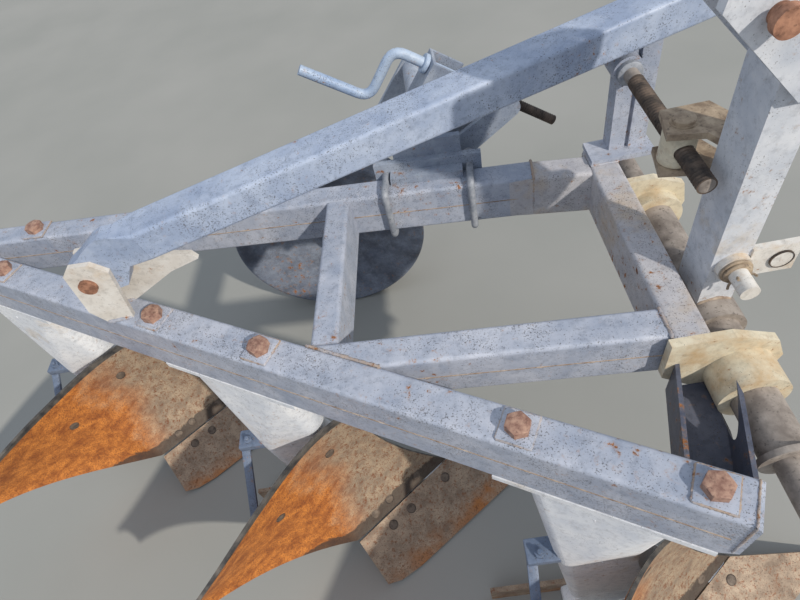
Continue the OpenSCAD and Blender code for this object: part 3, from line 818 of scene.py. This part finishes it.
def make_board(k):
    columns = BOARD_COLUMNS
    rows = BOARD_ROWS
    bm = bmesh.new()
    grid = {}
    for i in range(columns + 1):
        for j in range(rows + 1):
            u = i / columns
            v = j / rows
            point = board_point(u, v)
            normal = board_normal(u, v)
            grid[i, j, 0] = bm.verts.new(at_body(k, point))
            grid[i, j, 1] = bm.verts.new(at_body(k, point - normal * BOARD_T))
    for i in range(columns):
        for j in range(rows):
            for side in (0, 1):
                places = ((i, j), (i + 1, j), (i + 1, j + 1), (i, j + 1))
                corners = [grid[*place, side] for place in places]
                face = bm.faces.new(corners if side == 0 else reversed(corners))
                face.material_index = 1 if j == rows - 1 else 0
    rim = [(i, 0) for i in range(columns)] + [(columns, j) for j in range(rows)]
    rim += [(i, rows) for i in range(columns, 0, -1)] + [(0, j) for j in range(rows, 0, -1)]
    for (i, j), (m, n) in zip(rim, rim[1:] + rim[:1]):
        face = bm.faces.new((grid[i, j, 0], grid[i, j, 1], grid[m, n, 1], grid[m, n, 0]))
        face.material_index = 1
    board = add_piece(f"board_{k}", bm, f"worn_board_{k}", "frame", 50.0)
    board.data.materials.append(materials["board_edge"])
    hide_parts(f"mouldboard_{k}")


# places on the board's surface, u and v, and on the share, x, y and z in the body's plan
BOARD_BOLTS = ((0.10, 0.07), (0.225, 0.08), (0.295, 0.065), (0.455, 0.715), (0.17, 0.80))
SHARE_BOLTS = ((248, 27, 74), (140, -48, 73), (85, -86, 72))
SHARE_NORMAL = Vector((0.27, -0.403, 0.875))
# (along, radius) pairs in millimetres
BOLT_FACE = ((-3, 11.2), (0.5, 11.2), (0.9, 10.2), (0.9, 0.5))
BOLT_RING = ((-3, 13.6), (0.25, 13.6), (0.7, 12.8), (0.7, 11.9), (0.1, 11.3), (-3, 11.3))


def flush_bolt(k, number, centre, normal):
    """A countersunk bolt head: a dull face inside a dark ring."""
    face = bmesh.new()
    lathe(face, centre, normal, BOLT_FACE, steps=32)
    add_piece(f"bolt_face_{k}_{number}", face, "bolt_dark", "frame")
    ring = bmesh.new()
    lathe(ring, centre, normal, BOLT_RING, steps=32, hollow=True)
    add_piece(f"bolt_ring_{k}_{number}", ring, "thread_steel", "frame")


def make_flush_bolts(k):
    for number, (u, v) in enumerate(BOARD_BOLTS, 1):
        flush_bolt(k, number, at_body(k, board_point(u, v)), board_normal(u, v))
    for number, place in enumerate(SHARE_BOLTS, len(BOARD_BOLTS) + 1):
        flush_bolt(k, number, at_body(k, Vector(place)), SHARE_NORMAL)


for body in BODIES:
    make_board(body)
    make_flush_bolts(body)


# Tail stays: a dark bracket with two bolts behind the leg, and a flat strap that goes down behind the board

STAY_BRACKET = Vector((-195, 66, 419))
BRACKET_SIZE = (88, 50, 21)
STRAP_FROM = Vector((-228, 60, 414))
STRAP_TO = Vector((-248, -160, 214))
STRAP_W = 22
STRAP_T = 9
STAY_BOLTS = (Vector((-212, 58, 429.3)), Vector((-174, 58, 429.3)))
# (along, radius) pairs in millimetres, from just under the nut's top
STAY_BOLT_END = ((0, 5.5), (8, 5.5), (9, 4.5))


def make_board_stay(k):
    bm = bmesh.new()
    block(bm, at_body(k, STAY_BRACKET), Matrix.Identity(3), BRACKET_SIZE, bevel=3.0)
    run = at_body(k, STRAP_TO) - at_body(k, STRAP_FROM)
    middle = at_body(k, STRAP_FROM) + run / 2
    block(bm, middle, basis(run, (1, 0, 0)), (STRAP_W, STRAP_T, run.length * 1000), bevel=1.5)
    stay = add_piece(f"tail_stay_{k}", bm, "tail_paint", "frame")
    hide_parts(f"board_stay_{k}")
    for number, place in enumerate(STAY_BOLTS, 1):
        bm = bmesh.new()
        foot = at_body(k, place)
        hex_solid(bm, foot, UP, across=19, height=10, turn_deg=20 * number)
        lathe(bm, foot + UP * 0.0095, UP, STAY_BOLT_END, steps=20)
        add_piece(f"tail_stay_bolt_{k}_{number}", bm, "tail_paint", "frame")


# the leg's seam, from the frog up to the beam, in the body's plan
LEG_SEAM = (Vector((-94, 28.6, 428)), Vector((-130.7, 36.8, 694)))

# each leg's seam bead takes leg_paint, whose near white is painted sunlight
for body in BODIES:
    make_board_stay(body)
    leg_seam = [at_body(body, point) for point in LEG_SEAM]
    add_bead(f"leg_seam_{body}", leg_seam, radius=3.0, seed=90 + body, rough=0.6, material="leg_paint")


# Weld beads at the frame's joints

# name, y, and x from and to, of the welds on both sides of the stay's lugs
LUG_WELDS = (
    ("near_lug_weld", 493.5, -988, -936),
    ("near_lug_inner_weld", 505.5, -988, -936),
    ("far_lug_weld", 542.5, -998, -942),
    ("far_lug_outer_weld", 554.5, -998, -942),
)
WELD_LIFT = 1
POST_WELD = ((96, 675), (40, 675), (39, 728))
CAP_RUN = 9
CAP_LOW = FRAME_TOP - BEAM_H + 26
# the beam's rounded edge, across and down
CAP_EDGE = (2, 3)


def meeting(point, direction, other, other_direction):
    """Where two lines of the plan cross."""
    across = direction.x * other_direction.y - direction.y * other_direction.x
    gap = other - point
    return point + direction * ((gap.x * other_direction.y - gap.y * other_direction.x) / across)


def joint_bead(name, corners, seed, radius=3.2):
    add_bead(name, [at(x, y, z) for x, y, z in corners], radius, seed, rough=0.5)


def over_tube(far, near):
    """A weld's corners: over a tube's top from its far edge to its near edge, and down its near side."""
    low = FRAME_TOP - TUBE_H + 8
    return (far.x, far.y, FRAME_TOP), (near.x, near.y, FRAME_TOP), (near.x, near.y, low)


def make_joint_beads():
    mid_near = Vector((*MID_FRONT, 0)) + mid_side * (TUBE_W / 2)
    mid_far = Vector((*MID_FRONT, 0)) - mid_side * (TUBE_W / 2)
    land_near = Vector((*LAND_FRONT, 0)) + land_side * (TUBE_W / 2)
    land_far = Vector((*LAND_FRONT, 0)) - land_side * (TUBE_W / 2)
    cross_rear = Vector((CROSS_REAR_X, 0, 0))
    beam_far = Vector((*BEAM_FRONT, 0)) - beam_side * (BEAM_W / 2)
    at_cross = [meeting(edge, mid_dir, cross_rear, ACROSS) for edge in (mid_far, mid_near)]
    joint_bead("middle_cross_weld", over_tube(*at_cross), 51)
    at_beam = [meeting(edge, mid_dir, beam_far, beam_dir) for edge in (mid_far, mid_near)]
    joint_bead("middle_beam_weld", over_tube(*at_beam), 52)
    joint_bead("land_weld", over_tube(land_far, land_near), 53)
    top = FRAME_TOP + WELD_LIFT
    for seed, (name, y, x_from, x_to) in enumerate(LUG_WELDS, 60):
        joint_bead(name, ((x_from, y, top), (x_to, y, top)), seed, radius=4.2)
    joint_bead("post_weld", [(x, y, top) for x, y in POST_WELD], 70)
    near = BEAM_W / 2
    inset, drop = CAP_EDGE
    corners = (
        on_beam(CAP_RUN, inset - near, FRAME_TOP),
        on_beam(CAP_RUN, near - inset, FRAME_TOP),
        on_beam(CAP_RUN, near, FRAME_TOP - drop),
        on_beam(CAP_RUN, near, CAP_LOW),
    )
    add_bead("beam_cap_weld", corners, radius=1.9, seed=71, rough=0.5)


make_joint_beads()


# Small fittings of the mast: head of the nut's pin, plug with washers and split pins, foot welds

MAST_NEAR = 331.0
MAST_FAR = 411.0
PLUG_X = 158.0
PLUG_Z = 915.0
PLATE_PLUG_X = 232
SLEEVE_X = 153.0
SLEEVE_Z = 780
SLEEVE_RADIUS = 49.0
FOOT_FROM = 125
FOOT_RUN = 56
FOOT_STEPS = 12
# (along, radius) pairs in millimetres
PIN_HEAD = ((0, 20), (1.5, 20), (1.6, 17), (7, 17), (8, 15.5), (8.1, 1))
PLUG_GAP = ((-0.8, 17), (-0.8, 18.6), (3.0, 18.6), (3.0, 17))
# y, length and radius of the plug's washers; y and tilt of its split pins
WASHERS = ((MAST_NEAR - 17, 4.5, 25), (MAST_NEAR - 22, 4, 22))
SPLIT_PINS = ((MAST_NEAR - 30, 0.5), (MAST_NEAR - 36, 2.3))


def split_pin(bm, y, tilt):
    """A bent wire through the plug, its legs spread."""
    across = Vector((math.cos(tilt), 0, math.sin(tilt)))
    centre = at(PLUG_X, y, PLUG_Z)
    near = Vector((0, -0.008, 0))
    path = [
        centre + across * 0.021 + near,
        centre + across * 0.018,
        centre - across * 0.018,
        centre - across * 0.024 + near,
    ]
    swept_bar(bm, rounded_path(path, corner=5, steps=4), radius=2.1, steps=8)


def make_mast_fittings():
    bm = bmesh.new()
    lathe(bm, at(SCREW_X, NUT_Y, NUT_TOP), UP, PIN_HEAD)
    add_piece("nut_pin_head", bm, "plate_rust", "headstock")
    bm = bmesh.new()
    for y, length, radius in WASHERS:
        collar(bm, at(PLUG_X, y, PLUG_Z), ACROSS, length, radius, slope=1, rim=0.8)
    for y, tilt in SPLIT_PINS:
        split_pin(bm, y, tilt)
    add_piece("plug_washers", bm, "plate_rust", "headstock")
    bm = bmesh.new()
    lathe(bm, at(PLATE_PLUG_X, MAST_NEAR - 7.2, PLUG_Z), ACROSS, PLUG_GAP, hollow=True)
    add_piece("plate_plug_gap", bm, "thread_steel", "headstock")
    for seed, (name, y) in enumerate((("mast_foot_weld", MAST_NEAR), ("mast_foot_weld_far", MAST_FAR)), 80):
        arc = []
        for i in range(FOOT_STEPS + 1):
            x = FOOT_FROM + FOOT_RUN * i / FOOT_STEPS
            arc.append(at(x, y, SLEEVE_Z + math.sqrt(SLEEVE_RADIUS ** 2 - (x - SLEEVE_X) ** 2)))
        add_bead(name, arc, radius=3.6, seed=seed, rough=0.5, material="weld_rust", body="headstock")


make_mast_fittings()


# Nuts on the U-bolts' ends, behind the clamp and the wheel bracket

# height above the frame's top, and distance behind the tube's middle
NUT_SEATS = ((U_BAR_OFF, TUBE_W / 2 + 30.2), (-TUBE_H - U_BAR_OFF, TUBE_W / 2 + 16.2))
BAR_END = ((0, U_BAR_RADIUS), (8, U_BAR_RADIUS), (9.5, 6.5))


def make_u_bolt_nuts():
    away = -land_side
    bm = bmesh.new()
    for run in BOLT_RUNS:
        for lift, behind in NUT_SEATS:
            foot = by_clamp(run, -behind, lift)
            hex_solid(bm, foot, away, across=24, height=13, turn_deg=12.0)
            lathe(bm, foot + away * 0.0125, away, BAR_END, steps=24)
    add_piece("u_bolt_nuts", bm, "bolt_steel", "frame")


make_u_bolt_nuts()


# Stage, light and camera


def make_floor():
    mesh = bpy.data.meshes.new("floor")
    reach = 14.0
    corners = [(-reach, -reach, 0), (reach, -reach, 0), (reach, reach, 0), (-reach, reach, 0)]
    mesh.from_pydata(corners, [], [(0, 1, 2, 3)])
    floor = bpy.data.objects.new("floor", mesh)
    bpy.context.scene.collection.objects.link(floor)
    n = Nodes("floor_grey")
    soft = n.ramp(n.noise(1.3, 3.0, 0.5), 0.3, 0.7)
    mesh.materials.append(n.finish(n.mix(soft, (0.27, 0.275, 0.26), (0.31, 0.31, 0.295)), 0.9))


def add_lamp(name, direction, strength, angle, colour):
    """A soft sun that shines along direction."""
    light = bpy.data.lights.new(name, "SUN")
    light.energy = strength
    light.angle = math.radians(angle)
    light.color = colour
    lamp = bpy.data.objects.new(name, light)
    bpy.context.scene.collection.objects.link(lamp)
    lamp.rotation_euler = Vector(direction).to_track_quat("-Z", "Y").to_euler()


def make_light():
    world = bpy.data.worlds.new("soft_light")
    bpy.context.scene.world = world
    world.use_nodes = True
    sky = world.node_tree.nodes["Background"]
    sky.inputs["Color"].default_value = (0.80, 0.88, 1.0, 1.0)
    sky.inputs["Strength"].default_value = 0.62
    add_lamp("key", (-0.55, 0.62, -0.56), strength=3.3, angle=1.5, colour=(1.0, 0.93, 0.82))
    add_lamp("fill", (0.5, 0.4, -0.9), strength=0.35, angle=60.0, colour=(0.85, 0.92, 1.0))


def make_camera():
    """The photograph's camera: 36 mm sensor over 800 pixels, principal point at the middle."""
    focal_px = 551.18
    width_px = 800
    sensor_mm = 36.0
    place = at(-296.8, -234.7, 1660.2)
    yaw = math.radians(98.098)
    pitch = math.radians(50.101)
    roll = math.radians(-16.509)
    forward = Vector((math.cos(pitch) * math.cos(yaw), math.cos(pitch) * math.sin(yaw), -math.sin(pitch)))
    right = Vector((math.sin(yaw), -math.cos(yaw), 0.0))
    up = right.cross(forward)
    turned_right = right * math.cos(roll) + up * math.sin(roll)
    turned_up = up * math.cos(roll) - right * math.sin(roll)
    data = bpy.data.cameras.new("camera")
    data.sensor_width = sensor_mm
    data.lens = sensor_mm * focal_px / width_px
    data.clip_start = 0.02
    camera = bpy.data.objects.new("camera", data)
    bpy.context.scene.collection.objects.link(camera)
    turn = Matrix((turned_right, turned_up, -forward)).transposed()
    camera.matrix_world = Matrix.Translation(place) @ turn.to_4x4()
    bpy.context.scene.camera = camera


make_floor()
make_light()
make_camera()
bpy.context.scene.view_settings.view_transform = "Standard"
